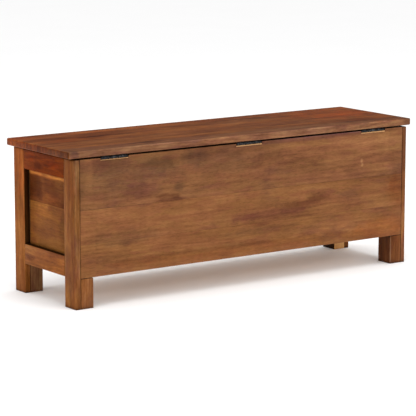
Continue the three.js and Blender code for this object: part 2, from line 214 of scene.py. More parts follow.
def marks_on(face, *marks):
    """Marks as kind, middle and half size, from their kind and their middle and half size along the face."""
    across, place, depth = face
    laid = []
    for kind, first, second, half_first, half_second in marks:
        middle = [first, second]
        half_size = [half_first, half_second]
        middle.insert(across, place)
        half_size.insert(across, depth)
        laid.append((kind, tuple(middle), tuple(half_size)))
    return laid


MARKS = {
    "rear_panel": marks_on(
        ON_REAR,
        # the upper board, toward the right
        ("grey", 0.39, 0.305, 0.17, 0.055),
        ("grey", 0.40, 0.350, 0.11, 0.032),
        ("purple", 0.34, 0.285, 0.07, 0.030),
        ("slate", 0.178, 0.350, 0.055, 0.028),
        ("slate", 0.285, 0.345, 0.060, 0.026),
        ("slate", 0.222, 0.285, 0.020, 0.022),
        ("grey", 0.27, 0.325, 0.08, 0.022),
        ("shade", 0.44, 0.355, 0.10, 0.030),
        ("shade", 0.520, 0.330, 0.030, 0.100),
        ("purple", 0.475, 0.360, 0.065, 0.026),
        ("shade", 0.290, 0.360, 0.150, 0.026),
        ("glow", 0.32, 0.287, 0.045, 0.014),
        # the knot and its streak
        ("knot", 0.266, 0.264, 0.034, 0.011),
        ("knot", 0.235, 0.260, 0.022, 0.009),
        ("streak", 0.245, 0.252, 0.060, 0.008),
        # the upper board, in the middle and toward the left
        ("grey", 0.08, 0.335, 0.14, 0.045),
        ("shade", 0.10, 0.365, 0.12, 0.025),
        ("shade", -0.02, 0.355, 0.12, 0.035),
        ("glow", -0.12, 0.352, 0.17, 0.015),
        ("glow", -0.33, 0.32, 0.17, 0.06),
        ("glow", -0.44, 0.270, 0.08, 0.024),
        # a violet painted shadow along the top edge, under the lid
        ("violet", -0.18, 0.374, 0.34, 0.009),
        ("lilac", -0.25, 0.379, 0.30, 0.0045),
        ("fleck", -0.3768, 0.2975, 0.0055, 0.0085),
        ("fleck", -0.3788, 0.2860, 0.0055, 0.0070),
        # the middle board
        ("grey", 0.39, 0.172, 0.13, 0.030),
        ("streak", -0.170, 0.200, 0.095, 0.010),
        ("streak", -0.228, 0.2120, 0.055, 0.011),
        ("purple", -0.050, 0.181, 0.17, 0.020),
        ("purple", 0.005, 0.180, 0.070, 0.012),
        ("purple", -0.135, 0.186, 0.060, 0.010),
        ("purple", -0.245, 0.226, 0.060, 0.014),
        ("russet", -0.500, 0.205, 0.050, 0.060),
        ("russet", -0.505, 0.215, 0.040, 0.050),
        # the lowest board
        ("shade", 0.37, 0.158, 0.08, 0.014),
        ("grey", -0.03, 0.143, 0.12, 0.014),
        ("glow", -0.25, 0.125, 0.10, 0.022),
        ("shade", 0.08, 0.111, 0.32, 0.010),
        ("russet", 0.00, 0.101, 0.62, 0.020),
        ("amber", -0.45, 0.105, 0.14, 0.038),
    ),
    "lid_board": [
        *marks_on(
            ON_SEAT,
            ("streak", 0.25, -0.145, 0.09, 0.012),
            ("streak", 0.34, -0.045, 0.12, 0.018),
            ("knot", 0.34, -0.050, 0.10, 0.012),
            ("knot", 0.293, 0.115, 0.022, 0.018),
            ("streak", 0.29, 0.112, 0.09, 0.012),
            ("streak", -0.15, -0.10, 0.16, 0.012),
            ("ember", -0.44, -0.06, 0.22, 0.12),
        ),
        *marks_on(
            SKIN_OF_SEAT,
            ("ember", -0.44, -0.01, 0.17, 0.100),
            ("amber", -0.47, 0.05, 0.14, 0.15),
            ("russet", 0.41, -0.02, 0.14, 0.035),
            ("amber", 0.45, -0.06, 0.14, 0.10),
            ("dusty", -0.16, -0.075, 0.19, 0.070),
        ),
        ("russet", (-0.42, 0.115, SEAT + 3 * MM), (0.26, 0.060, 0.007)),
        ("russet", (0.30, -0.090, SEAT), (0.09, 0.04, 0.02)),
        ("ember", (0.53, -0.12, SEAT), (0.06, 0.06, 0.04)),
        # the right rear corner
        ("slate", (0.538, 0.1520, 0.397), (0.022, 0.022, 0.008)),
        ("violet", (0.533, 0.1550, 0.392), (0.018, 0.020, 0.012)),
        # the rear edge, with a rose painted highlight along its arris
        ("rose", (0.0, 0.1565, 0.391), (2.0, 0.007, 0.05)),
        ("streak", (-0.56, 0.155, 0.391), (0.07, 0.02, 0.03)),
        ("grey", (-0.18, 0.155, 0.396), (0.22, 0.03, 0.02)),
        ("grey", (0.38, 0.155, 0.394), (0.20, 0.03, 0.02)),
        ("glow", (0.15, 0.155, 0.387), (0.08, 0.02, 0.010)),
    ],
    "right_end_panel": marks_on(
        ON_END_PANEL,
        # a pale band painted under the top rail as a highlight, fading downward
        ("painted_highlight", 0.030, 0.3235, 0.30, 0.0120),
        ("glow", -0.085, 0.3215, 0.040, 0.0100),
        ("figure", 0.030, 0.3170, 0.30, 0.0100),
        ("glow", 0.002, 0.305, 0.12, 0.018),
        # the upper board
        ("glow", -0.028, 0.285, 0.018, 0.050),
        ("streak", -0.06, 0.285, 0.05, 0.035),
        ("figure", 0.012, 0.256, 0.055, 0.020),
        ("glow", 0.022, 0.262, 0.060, 0.024),
        ("rose", 0.065, 0.288, 0.038, 0.042),
        ("glow", -0.045, 0.290, 0.050, 0.040),
        # the glow about the seam and below it
        ("glow", -0.088, 0.230, 0.009, 0.20),
        ("glow", -0.035, 0.242, 0.060, 0.020),
        ("glow", -0.028, 0.236, 0.030, 0.028),
        ("glow", -0.045, 0.205, 0.040, 0.035),
        ("glow", -0.010, 0.212, 0.030, 0.030),
        # the lower board's shades
        ("slate", 0.078, 0.190, 0.034, 0.080),
        ("grey", 0.000, 0.172, 0.120, 0.024),
        ("grey", 0.000, 0.150, 0.090, 0.026),
    ),
    "right_end_top_rail": marks_on(
        ON_END,
        ("glow", 0.02, 0.366, 0.030, 0.008),
        ("ember", 0.055, 0.352, 0.040, 0.012),
        ("streak", -0.025, 0.345, 0.030, 0.012),
        ("ember", -0.060, 0.362, 0.028, 0.014),
    ),
    "right_end_bottom_rail": marks_on(
        ON_END,
        ("glow", 0.070, 0.104, 0.045, 0.024),
        ("streak", -0.065, 0.100, 0.030, 0.008),
    ),
    "right_end_front_stile": [
        *marks_on(
            ON_END,
            ("ember", -0.120, 0.340, 0.060, 0.090),
            ("glow", -0.100, 0.230, 0.012, 0.10),
        ),
        *marks_on(
            DEEP_IN_END,
            ("shade", -0.120, 0.020, 0.060, 0.080),
        ),
    ],
    "right_end_rear_stile": [
        *marks_on(
            ON_END,
            ("russet", 0.115, 0.345, 0.040, 0.080),
            ("rose", 0.128, 0.030, 0.024, 0.050),
        ),
        *marks_on(
            DEEP_IN_END,
            ("glow", 0.138, 0.100, 0.040, 0.080),
            ("glow", 0.138, 0.020, 0.040, 0.060),
        ),
        # its rear edge
        ("shade", (STILE_MIDDLE_X, REAR, 0.355), (0.02, 0.012, 0.110)),
        ("dusky", (STILE_MIDDLE_X, REAR, 0.23), (0.02, 0.006, 0.50)),
    ],
    "left_end_rear_stile": [
        # darker towards the top: painted shade
        ("streak", (-RIGHT_END, REAR, 0.38), (0.1, 0.1, 0.18)),
        ("shade", (-RIGHT_END, REAR, 0.30), (0.1, 0.1, 0.22)),
    ],
    "rear_left_leg_block": [
        # the worn inner arris, with a painted highlight along it
        ("worn_highlight", (-LEG_INNER_X - 0.5 * MM, REAR - 0.5 * MM, 0.036), (0.0032, 0.0040, 0.070)),
        ("glow", (-0.505, REAR, 0.030), (0.030, 0.01, 0.050)),
    ],
}


# ---------- the CAD nodes ----------
def longest_axis(node):
    low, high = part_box(node)
    size = high - low
    return max(range(3), key=lambda axis: size[axis])


def widest_axis_across(node, along):
    low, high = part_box(node)
    size = high - low
    return max((axis for axis in range(3) if axis != along), key=lambda axis: size[axis])


def grain_axes(node):
    """The axes along a board, across it and through it."""
    along = TURNED_GRAIN.get(node, longest_axis(node))
    across = widest_axis_across(node, along)
    return along, across, 3 - along - across


def node_solid(node):
    """A CAD node's shape with its flat faces whole again, as a bmesh."""
    bm = bmesh.new()
    bm.from_mesh(frame["nodes"][node].data)
    bmesh.ops.remove_doubles(bm, verts=bm.verts, dist=0.001 * MM)
    bmesh.ops.dissolve_limit(bm, angle_limit=FLAT_TO, verts=bm.verts, edges=bm.edges)
    return bm


# Each node's shape, to find what lies beside it.
TREES = {
    node: BVHTree.FromPolygons(
        [vertex.co for vertex in thing.data.vertices],
        [polygon.vertices for polygon in thing.data.polygons],
    )
    for node, thing in frame["nodes"].items()
}


def beside_another(node, places):
    """Which of the places lie within a groove's width of another piece on the same body."""
    found = np.zeros(len(places), bool)
    low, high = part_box(node)
    for other, tree in TREES.items():
        other_low, other_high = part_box(other)
        apart = any(other_low[i] > high[i] + GROOVE or other_high[i] < low[i] - GROOVE for i in range(3))
        if other == node or apart or frame["nodes"][other]["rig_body"] != frame["nodes"][node]["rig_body"]:
            continue
        for i, place in enumerate(places):
            found[i] |= tree.find_nearest(place, GROOVE)[0] is not None
    return found


# ---------- meshes ----------
def cut_at(bm, axis, places):
    """Divides the flat faces across the axis at each place, as along a glue line."""
    normal = Vector([float(i == axis) for i in range(3)])
    for place in places:
        geometry = bm.verts[:] + bm.edges[:] + bm.faces[:]
        bmesh.ops.bisect_plane(bm, geom=geometry, plane_co=normal * place, plane_no=normal)


def smooth_object(bm, name):
    """A new object from the bmesh, shaded smooth."""
    mesh = bpy.data.meshes.new(name)
    bm.to_mesh(mesh)
    bm.free()
    for polygon in mesh.polygons:
        polygon.use_smooth = True
    made = bpy.data.objects.new(name, mesh)
    bpy.context.scene.collection.objects.link(made)
    return made


def eased(bm, name, radius, shortest=0.0, segments=3, top_radius=0.0):
    """A new object from the bmesh, with its sharp edges rounded, those along its top by the top radius.

    Edges up to the shortest stay sharp."""
    weights = bm.edges.layers.float.new("bevel_weight_edge")
    widest = max(radius, top_radius)
    top = max(vertex.co.z for vertex in bm.verts)
    for edge in bm.edges:
        if edge.calc_face_angle(0) < SHARP_FROM or edge.calc_length() <= shortest:
            continue
        at_top = top_radius and min(vertex.co.z for vertex in edge.verts) > top - 0.1 * MM
        edge[weights] = (top_radius if at_top else radius) / widest
    piece = smooth_object(bm, name)
    rough = piece.data
    rough.name = name + "_rough"
    bevel = piece.modifiers.new("ease", "BEVEL")
    bevel.limit_method = "WEIGHT"
    bevel.width = widest
    bevel.segments = segments
    bevel.use_clamp_overlap = False
    bevel.harden_normals = True
    bpy.context.view_layer.update()
    evaluated = piece.evaluated_get(bpy.context.evaluated_depsgraph_get())
    finished = bpy.data.meshes.new_from_object(evaluated)
    finished.name = name
    piece.modifiers.clear()
    piece.data = finished
    bpy.data.meshes.remove(rough)
    return piece


def rounded_slab(node, corner, edge, edge_steps=4, corner_steps=6):
    """A flat slab in the node's box, with rounded corners in plan and rounded edges all round, as a bmesh."""
    low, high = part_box(node)
    middle = middle_of(node)
    turns = [math.pi / 2 * i / edge_steps for i in range(edge_steps + 1)]
    lower = [(edge * (1 - math.sin(turn)), low.z + edge * (1 - math.cos(turn))) for turn in turns]
    upper = [(edge * (1 - math.sin(turn)), high.z - edge * (1 - math.cos(turn))) for turn in turns]
    profile = lower + upper[::-1]

    # The outline runs once round the slab at each height of the profile, from the corner at +X, +Y.
    corners = [(high.x, high.y), (low.x, high.y), (low.x, low.y), (high.x, low.y)]
    bm = bmesh.new()
    loops = []
    for inward, height in profile:
        loop = []
        for quarter, (x, y) in enumerate(corners):
            toward_x = math.copysign(1, x - middle.x)
            toward_y = math.copysign(1, y - middle.y)
            centre = Vector((x - toward_x * corner, y - toward_y * corner))
            for i in range(corner_steps + 1):
                angle = math.pi / 2 * (quarter + i / corner_steps)
                point = centre + (corner - inward) * Vector((math.cos(angle), math.sin(angle)))
                loop.append(bm.verts.new((point.x, point.y, height)))
        loops.append(loop)
    count = len(loops[0])
    for below, above in zip(loops, loops[1:]):
        for i in range(count):
            j = (i + 1) % count
            bm.faces.new((below[i], below[j], above[j], above[i]))
    bm.faces.new(loops[0][::-1])
    bm.faces.new(loops[-1])
    return bm


# ---------- what each mesh tells its material ----------
END_GRAIN_FROM = 0.75  # faces whose normals lie along the grain by this much show end grain
EASED_BELOW = 0.985  # faces whose normals lie along an axis by less are part of an eased edge
SQUARE_TO = 0.9  # faces whose normals lie along an axis by more are square to it
SLOPING_FROM = 0.3  # faces whose normals lie along two axes by more than this slope between them

# The sides of the frames' pieces that look inward: the axis they lie across, and how much they are darkened
# there, by pooled stain and painted shade on stiles and rails, by painted shade on the leg blocks under the
# bench.
INWARD_SIDES = {"stile": (Y, 0.25), "rail": (Z, 0.5), "block": (X, 0.2)}
# the front leg blocks' inner sides are painted darkest, as shade under the bench
SHADE_ON_FRONT_BLOCK = 1.0

# The rear panel's hinge notches turn bare over these heights, and the right one took some stain after all.
NOTCH_BEVEL = (368.5 * MM, 373.0 * MM)
RIGHT_NOTCH_FROM = 300 * MM
RIGHT_NOTCH_BARE = 0.74


def within(heights, span):
    low, high = span
    return (heights > low - MM) & (heights < high + MM)


def stain_and_shade_taken(node, centres, normals):
    """For each face, how bare it was left, and how much pooled stain and painted shade darken it, from 0 to
    1.
    """
    bare = np.zeros(len(centres))
    stain_and_shade = np.zeros(len(centres))
    heights = centres[:, Z]
    if node == "rear_panel":
        sloping = (normals[:, Y] > SLOPING_FROM) & (normals[:, Z] > SLOPING_FROM)
        notch = sloping & within(heights, NOTCH_BEVEL)
        bare[notch] = np.where(centres[notch, X] > RIGHT_NOTCH_FROM, RIGHT_NOTCH_BARE, 1.0)
    if node == "front_left_leg_block":
        bare[normals[:, Y] > SQUARE_TO] = 1.0

    # Pooled stain and painted shade on the sides of the frames' pieces that look into the recesses, and
    # painted shade on the leg blocks' inner sides.
    kind = node.split("_")[-1]
    if kind == "muntin":
        stain_and_shade[np.abs(normals[:, X]) > SQUARE_TO] = 1.0
    if kind in INWARD_SIDES:
        axis, darkening = INWARD_SIDES[kind]
        side = math.copysign(1, middle_of(node)[axis] - BENCH_MIDDLE[axis])
        inward = normals[:, axis] * side < -SQUARE_TO
        stain_and_shade[inward] = SHADE_ON_FRONT_BLOCK if kind == "block" and "front" in node else darkening
        if kind != "block":
            stain_and_shade[inward & within(heights, RECESS)] = 1.0
    return bare, stain_and_shade


def read_values(things, name, width, kind=np.float32):
    """A value of all the mesh's things of one sort, as an array, a row each where it is a vector."""
    values = np.empty(len(things) * width, kind)
    things.foreach_get(name, values)
    return values.reshape(-1, width) if width > 1 else values


def write_corners(mesh, name, values):
    """Gives the mesh an attribute with a number or a vector for each face's corner."""
    is_vector = values.ndim == 2
    attribute = mesh.attributes.new(name, "FLOAT_VECTOR" if is_vector else "FLOAT", "CORNER")
    field = "vector" if is_vector else "value"
    attribute.data.foreach_set(field, np.ascontiguousarray(values, np.float32).ravel())


def lay_grain(piece, node, seams=(), tints=(), end_tints=()):
    """Writes on the mesh where each corner lies in the log it was sawn from, and how its board looks.

    grain: along the board, across it and through it, from the log's heart.
    tint: what the board's colour is multiplied by.
    face: 1 on end grain, 1 where the wood was left bare, 1 where pooled stain and painted shade darken it.
    edge: 1 on open eased edges, 1 on those that form a groove with another piece.
    to_lower_seam, to_upper_seam: distances to the board's glue lines."""
    mesh = piece.data
    rng = random.Random(node)
    along, across, through = grain_axes(node)
    low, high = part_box(node)
    edges = [low[across], *seams, high[across]]
    count = len(edges) - 1
    lightness, blueness = rng.uniform(*LIGHTNESS), rng.uniform(*BLUENESS)
    drawn_tint = (lightness, lightness, lightness * blueness)
    face_tints = np.array(tints or [TINTS.get(node, drawn_tint)])
    end_tints = np.array(end_tints or face_tints)
    hearts = np.array([
        (rng.uniform(*LOG_START), rng.uniform(*HEART_BESIDE), rng.choice((-1, 1)) * rng.uniform(*HEART_DEPTH))
        for _ in range(count)
    ])

    corners = read_values(mesh.vertices, "co", 3)[read_values(mesh.loops, "vertex_index", 1, np.int32)]
    centres = read_values(mesh.polygons, "center", 3)
    normals = read_values(mesh.polygons, "normal", 3)
    face_of = np.repeat(np.arange(len(centres)), read_values(mesh.polygons, "loop_total", 1, np.int32))

    board = np.clip(np.searchsorted(edges, centres[:, across]) - 1, 0, count - 1)[face_of]
    middles = np.array([(a + b) / 2 for a, b in zip(edges, edges[1:])])
    grain = np.stack(
        [
            corners[:, along] + hearts[board, 0],
            corners[:, across] - middles[board] + hearts[board, 1],
            corners[:, through] - middle_of(node)[through] + hearts[board, 2],
        ],
        axis=1,
    )
    write_corners(mesh, "grain", grain)

    end_grain = np.abs(normals[:, along]) > END_GRAIN_FROM
    write_corners(mesh, "tint", np.where(end_grain[face_of, None], end_tints[board], face_tints[board]))
    face = np.stack([end_grain.astype(float), *stain_and_shade_taken(node, centres, normals)], axis=1)[face_of]
    if node == "rear_panel":
        bevel_low, bevel_high = NOTCH_BEVEL
        face[:, 1] *= np.clip((corners[:, Z] - bevel_low) / (bevel_high - bevel_low), 0, 1)
    write_corners(mesh, "face", face)

    eased_faces = np.abs(normals).max(axis=1) < EASED_BELOW
    grooved = np.zeros(len(centres), bool)
    grooved[eased_faces] = beside_another(node, centres[eased_faces])
    edge = np.stack([eased_faces & ~grooved, grooved, np.zeros(len(centres))], axis=1)
    write_corners(mesh, "edge", edge[face_of])

    far = 1.0
    lower = np.array([-far, *seams])[board]
    upper = np.array([*seams, far])[board]
    write_corners(mesh, "to_lower_seam", corners[:, across] - lower)
    write_corners(mesh, "to_upper_seam", upper - corners[:, across])


# ---------- materials ----------
class Graph:
    """A material's node tree, with short ways to add what the materials below need."""

    def __init__(self, name):
        self.material = bpy.data.materials.new(name)
        self.material.use_nodes = True
        self.tree = self.material.node_tree
        self.tree.nodes.clear()

    def node(self, kind, inputs=None, **settings):
        made = self.tree.nodes.new(kind)
        for key, value in settings.items():
            setattr(made, key, value)
        for key, value in (inputs or {}).items():
            self.put(value, made.inputs[key])
        return made

    def put(self, value, socket):
        if isinstance(value, bpy.types.NodeSocket):
            self.tree.links.new(value, socket)
        else:
            socket.default_value = value

    def attribute(self, name, output="Vector"):
        return self.node("ShaderNodeAttribute", attribute_name=name).outputs[output]

    def place(self):
        return self.node("ShaderNodeTexCoord").outputs["Object"]

    def math(self, operation, *values, clamp=False):
        made = self.node("ShaderNodeMath", operation=operation, use_clamp=clamp)
        for value, socket in zip(values, made.inputs):
            self.put(value, socket)
        return made.outputs[0]

    def blend(self, *parts):
        """The sum of the parts, each a value and its weight."""
        total = self.math("MULTIPLY", *parts[0])
        for value, weight in parts[1:]:
            total = self.math("ADD", total, self.math("MULTIPLY", value, weight))
        return total

    def vector(self, operation, *values):
        made = self.node("ShaderNodeVectorMath", operation=operation)
        for value, socket in zip(values, made.inputs):
            self.put(value, socket)
        return made.outputs["Value" if operation == "LENGTH" else "Vector"]

    def separate(self, vector):
        return self.node("ShaderNodeSeparateXYZ", {"Vector": vector}).outputs

    def noise(self, vector, stretch=(1, 1, 1), scale=1.0, detail=3.0, roughness=0.5):
        inputs = {
            "Vector": self.vector("MULTIPLY", vector, [s * scale for s in stretch]),
            "Scale": 1.0,
            "Detail": detail,
            "Roughness": roughness,
        }
        return self.node("ShaderNodeTexNoise", inputs).outputs["Fac"]

    def remap(self, value, from_low, from_high, to_low, to_high, smooth=False):
        kind = "SMOOTHSTEP" if smooth else "LINEAR"
        inputs = {0: value, 1: from_low, 2: from_high, 3: to_low, 4: to_high}
        return self.node("ShaderNodeMapRange", inputs, interpolation_type=kind).outputs[0]

    def mix(self, factor, first, second):
        made = self.node("ShaderNodeMix", data_type="RGBA")
        self.put(factor, made.inputs[0])
        self.put(first, made.inputs[6])
        self.put(second, made.inputs[7])
        return made.outputs[2]

    def ramp(self, value, stops):
        made = self.node("ShaderNodeValToRGB", {"Fac": value})
        elements = made.color_ramp.elements
        while len(elements) < len(stops):
            elements.new(0.5)
        for element, (place, colour) in zip(elements, stops):
            element.position = place
            element.color = colour
        return made.outputs["Color"]

    def product(self, factors):
        total = factors[0]
        for factor in factors[1:]:
            total = self.math("MULTIPLY", total, factor)
        return total

    def where(self, mask, factor):
        """The factor where the mask is 1, and 1 where it is 0."""
        return self.math("MULTIPLY_ADD", mask, self.math("SUBTRACT", factor, 1.0), 1.0)

    def scaled(self, colour, factor):
        inputs = {0: colour, "Scale": factor}
        return self.node("ShaderNodeVectorMath", inputs, operation="SCALE").outputs["Vector"]

    def surface(self, colour, roughness, bump=None, bump_depth=0.0, constants=None):
        inputs = {"Base Color": colour, "Roughness": roughness, **(constants or {})}
        shader = self.node("ShaderNodeBsdfPrincipled", inputs)
        if bump is not None:
            made = self.node("ShaderNodeBump", {"Height": bump, "Strength": 1.0, "Distance": bump_depth})
            self.put(made.outputs["Normal"], shader.inputs["Normal"])
        self.node("ShaderNodeOutputMaterial", {"Surface": shader.outputs["BSDF"]})
        return self.material


def srgb(red, green, blue):
    """A colour given as it looks on screen, 0 to 255, as Blender's linear one."""
    def linear(value):
        value /= 255
        return value / 12.92 if value <= 0.04045 else ((value + 0.055) / 1.055) ** 2.4
    return (linear(red), linear(green), linear(blue), 1.0)


# Each wood's tones, how strongly they differ, and how much of it is golden.
WOODS = {
    "frame_wood": {
        "dark": srgb(86, 42, 18),
        "middle": srgb(122, 68, 31),
        "light": srgb(152, 96, 53),
        "purple": srgb(94, 50, 33),
        "contrast": 1.35,
        "golden": 1.0,
    },
    "panel_wood": {
        "dark": srgb(83, 47, 28),
        "middle": srgb(116, 73, 44),
        "light": srgb(140, 95, 58),
        "purple": srgb(93, 56, 41),
        "contrast": 0.9,
        "golden": 1.0,
    },
    "lid_wood": {
        "dark": srgb(80, 36, 19),
        "middle": srgb(115, 62, 32),
        "light": srgb(141, 84, 43),
        "purple": srgb(91, 48, 35),
        "contrast": 1.3,
        "golden": 0.7,
    },
    "inner_wood": {
        "dark": srgb(148, 104, 68),
        "middle": srgb(182, 137, 94),
        "light": srgb(203, 160, 116),
        "purple": srgb(156, 112, 80),
        "contrast": 1.0,
        "golden": 0.3,
    },
}
BARE_WOOD = srgb(196, 148, 96)
WORN_AND_HIGHLIT_TINT = (1.9, 2.1, 2.4, 1)  # what an arris is multiplied by where it is worn through, which also paints a highlight along it
LACQUER = {"IOR": 1.45, "Specular IOR Level": 0.12, "Specular Tint": (1.0, 0.67, 0.32, 1.0)}
THIN_LACQUER = {**LACQUER, "Specular IOR Level": 0.04}
RUBBED_THIN = {
    "right_end_top_rail",
    "right_end_panel",
    "right_end_front_stile",
    "right_end_rear_stile",
}
GLUE_LINE = 0.7 * MM
SHADE_REACH = 11 * MM  # how far from a corner the painted shade in it reaches
GRAIN_DEPTH = 0.10 * MM


def figure_of(g, grain):
    """The wood's figure about its log's heart, from broad to fine, each from 0 to 1."""
    # The grain wanders as the log did.
    wander = g.noise(grain, (1.6, 7, 7), detail=2)
    sway = g.math("MULTIPLY", g.math("SUBTRACT", wander, 0.5), 0.045)
    offset = g.node("ShaderNodeCombineXYZ", {"Y": sway, "Z": sway}).outputs["Vector"]
    log = g.vector("ADD", grain, offset)
    ring_inputs = {
        "Vector": g.vector("MULTIPLY", log, (0.35, 1, 1)),
        "Scale": 42.0,
        "Distortion": 3.2,
        "Detail": 3.0,
        "Detail Scale": 0.6,
        "Detail Roughness": 0.6,
    }
    rings = g.node("ShaderNodeTexWave", ring_inputs, wave_type="RINGS", rings_direction="X")
    return {
        "rings": rings.outputs["Fac"],
        "broad": g.noise(log, (2.4, 15, 15), detail=3),
        "clouds": g.noise(log, (8, 42, 42), detail=4, roughness=0.6),
        "streaks": g.noise(log, (18, 140, 140), detail=4, roughness=0.65),
        "fibres": g.noise(log, (45, 700, 700), detail=3, roughness=0.7),
        "ripple": g.noise(grain, (38, 9, 9), detail=2),
        "patches": g.noise(grain, (5, 14, 14), detail=4, roughness=0.6),
        "hue": g.noise(g.vector("ADD", grain, (3.1, 0.7, 1.9)), (5, 26, 26), detail=3),
        "tone": g.noise(g.vector("ADD", log, (1.7, 2.9, 0.3)), (15, 48, 48), detail=4, roughness=0.65),
        "flecks": g.noise(grain, (90, 330, 330), detail=2),
        "pores": g.remap(g.noise(grain, (70, 1500, 1500), detail=1), 0.60, 0.72, 0.0, 1.0),
        "end_lines": g.noise(grain, (0, 150, 8), detail=3, roughness=0.6),
        "wear": g.noise(grain, (9, 60, 60), detail=3),
    }


def toned(g, figure, dark, middle, light, purple, contrast, golden):
    """The wood's tones laid along its figure, with golden, rosy, olive and purple parts."""
    value = g.blend((figure["broad"], 0.35), (figure["clouds"], 0.35), (figure["streaks"], 0.30))
    value = g.math("ADD", value, g.math("MULTIPLY", g.math("SUBTRACT", figure["rings"], 0.5), 0.05))
    spread = 0.21 / contrast
    colour = g.ramp(value, [(0.5 - spread, dark), (0.5, middle), (0.5 + spread, light)])
    colour = g.mix(g.remap(figure["patches"], 0.54, 0.70, 0.0, 0.6, smooth=True), colour, purple)
    gilded = g.vector("MULTIPLY", colour, (0.98, 1.07, 0.95))
    rosy = g.vector("MULTIPLY", colour, (0.97, 0.95, 1.00))
    olive = g.vector("MULTIPLY", colour, (1.00, 1.07, 1.00))
    colour = g.mix(g.remap(figure["hue"], 0.42, 0.60, 0.0, golden, smooth=True), colour, gilded)
    colour = g.mix(g.remap(figure["tone"], 0.50, 0.62, 0.0, 1.0, smooth=True), colour, rosy)
    return g.mix(g.remap(figure["tone"], 0.50, 0.38, 0.0, 1.0, smooth=True), colour, olive)


def marked(g, colour, marks, texture):
    """The colour with each mark laid on it as a patch: natural marks, and some painted highlights and
    shadows.
    """
    place = g.place()
    noise = g.node("ShaderNodeTexNoise", {"Vector": place, "Scale": 28.0, "Detail": 5.0}).outputs["Color"]
    noise = g.vector("SUBTRACT", noise, (0.5, 0.5, 0.5))
    for kind, middle, half_size in marks:
        mark_tint, raggedness = MARK_KINDS[kind]
        apart = g.vector("DIVIDE", g.vector("SUBTRACT", place, middle), half_size)
        distance = g.vector("LENGTH", g.vector("ADD", apart, g.scaled(noise, raggedness)))
        inside = g.remap(distance, 0.35, 1.05, 1.0, 0.0, smooth=True)
        inside = g.math("MULTIPLY", inside, texture, clamp=True)
        colour = g.mix(inside, colour, g.vector("MULTIPLY", colour, mark_tint))
    return colour


def aged_and_shaded(g, colour, figure):
    """The colour with its fine figure, dark grooves and glue lines, pooled stain, painted shade in corners
    and recesses, and worn arrises with a painted highlight.
    """
    end_grain, bare, stain_and_shade = g.separate(g.attribute("face"))
    open_edge, groove, _ = g.separate(g.attribute("edge"))
    to_seam = g.math("MINIMUM", g.attribute("to_lower_seam", "Fac"), g.attribute("to_upper_seam", "Fac"))
    # painted shade: darker where nearby surfaces hide it, in corners, recesses and under the lid
    openness = g.node("ShaderNodeAmbientOcclusion", {"Distance": SHADE_REACH}, samples=4).outputs["AO"]
    colour = g.scaled(colour, g.product([
        g.remap(figure["fibres"], 0.25, 0.75, 0.86, 1.12),
        g.remap(figure["ripple"], 0.3, 0.7, 0.95, 1.05),
        g.remap(figure["flecks"], 0.28, 0.50, 0.82, 1.02),
        g.remap(figure["pores"], 0.0, 1.0, 1.0, 0.72),
        g.where(end_grain, g.remap(figure["end_lines"], 0.32, 0.68, 0.60, 1.12)),
        # pooled stain and painted shade on the sides that look inward
        g.remap(stain_and_shade, 0.0, 1.0, 1.0, 0.14),
        g.where(groove, g.remap(g.noise(g.place(), scale=7), 0.40, 0.60, 0.35, 0.85)),
        g.remap(to_seam, 0.0, GLUE_LINE, 0.62, 1.0, smooth=True),
        g.remap(openness, 0.35, 0.90, 0.22, 1.0),
    # painted shade in corners and recesses, and under the lid
    ]))

    # Open arrises are worn to paler wood, which also serves as a painted highlight along them.
    rubbed = g.remap(figure["wear"], 0.35, 0.65, 0.0, 0.30)
    worn_and_highlit = g.product([open_edge, g.remap(openness, 0.85, 0.98, 0.0, 1.0), rubbed])
    colour = g.vector("MULTIPLY", colour, g.mix(worn_and_highlit, (1, 1, 1, 1), WORN_AND_HIGHLIT_TINT))

    # The notches cut for the hinges, and the back of one leg block, were never stained.
    raw = g.vector("MULTIPLY", BARE_WOOD[:3], g.attribute("tint"))
    raw = g.scaled(raw, g.remap(figure["fibres"], 0.3, 0.7, 0.85, 1.12))
    return g.mix(g.remap(bare, 0.42, 0.66, 0.0, 1.0, smooth=True), colour, raw)


def wood(name, tones, marks=(), lacquer=LACQUER):
    """Solid wood in the round: figure about the log's heart, natural marks, stain, wear and lacquer, with
    painted highlights and painted shade.
    """
    g = Graph(name)
    figure = figure_of(g, g.attribute("grain"))
    colour = toned(g, figure, **tones)
    colour = g.vector("MULTIPLY", colour, g.attribute("tint"))
    colour = marked(g, colour, marks, g.remap(figure["streaks"], 0.3, 0.6, 0.55, 1.15))
    colour = aged_and_shaded(g, colour, figure)
    shine = g.remap(figure["streaks"], 0.2, 0.8, 0.38, 0.52)
    rough = g.math("ADD", shine, g.math("MULTIPLY", figure["pores"], 0.15))
    height = g.blend((figure["fibres"], 0.5), (figure["pores"], -0.8), (figure["rings"], 0.3))
    return g.surface(colour, rough, height, GRAIN_DEPTH, lacquer)


def blackened_steel(name, base, worn, roughness):
    g = Graph(name)
    place = g.place()
    cloud = g.noise(place, scale=160, detail=5, roughness=0.65)
    speck = g.noise(place, scale=1400, detail=2)
    scratches = g.noise(place, (60, 1800, 1800), detail=3, roughness=0.7)
    rub = g.remap(g.blend((cloud, 0.7), (scratches, 0.3)), 0.50, 0.68, 0.0, 1.0)
    colour = g.mix(rub, base, worn)
    colour = g.scaled(colour, g.remap(speck, 0.3, 0.7, 0.85, 1.15))
    rough = g.remap(cloud, 0.3, 0.7, roughness - 0.08, roughness + 0.12)
    height = g.blend((cloud, 0.6), (speck, 0.4))
    return g.surface(colour, rough, height, 0.03 * MM, {"Metallic": 0.85})


def soft_rubber(name):
    g = Graph(name)
    place = g.place()
    cloud = g.noise(place, scale=300, detail=4)
    fine = g.noise(place, scale=2500, detail=2)
    colour = g.mix(cloud, srgb(74, 60, 48), srgb(104, 86, 70))
    return g.surface(colour, g.remap(cloud, 0.3, 0.7, 0.6, 0.8), fine, 0.02 * MM)


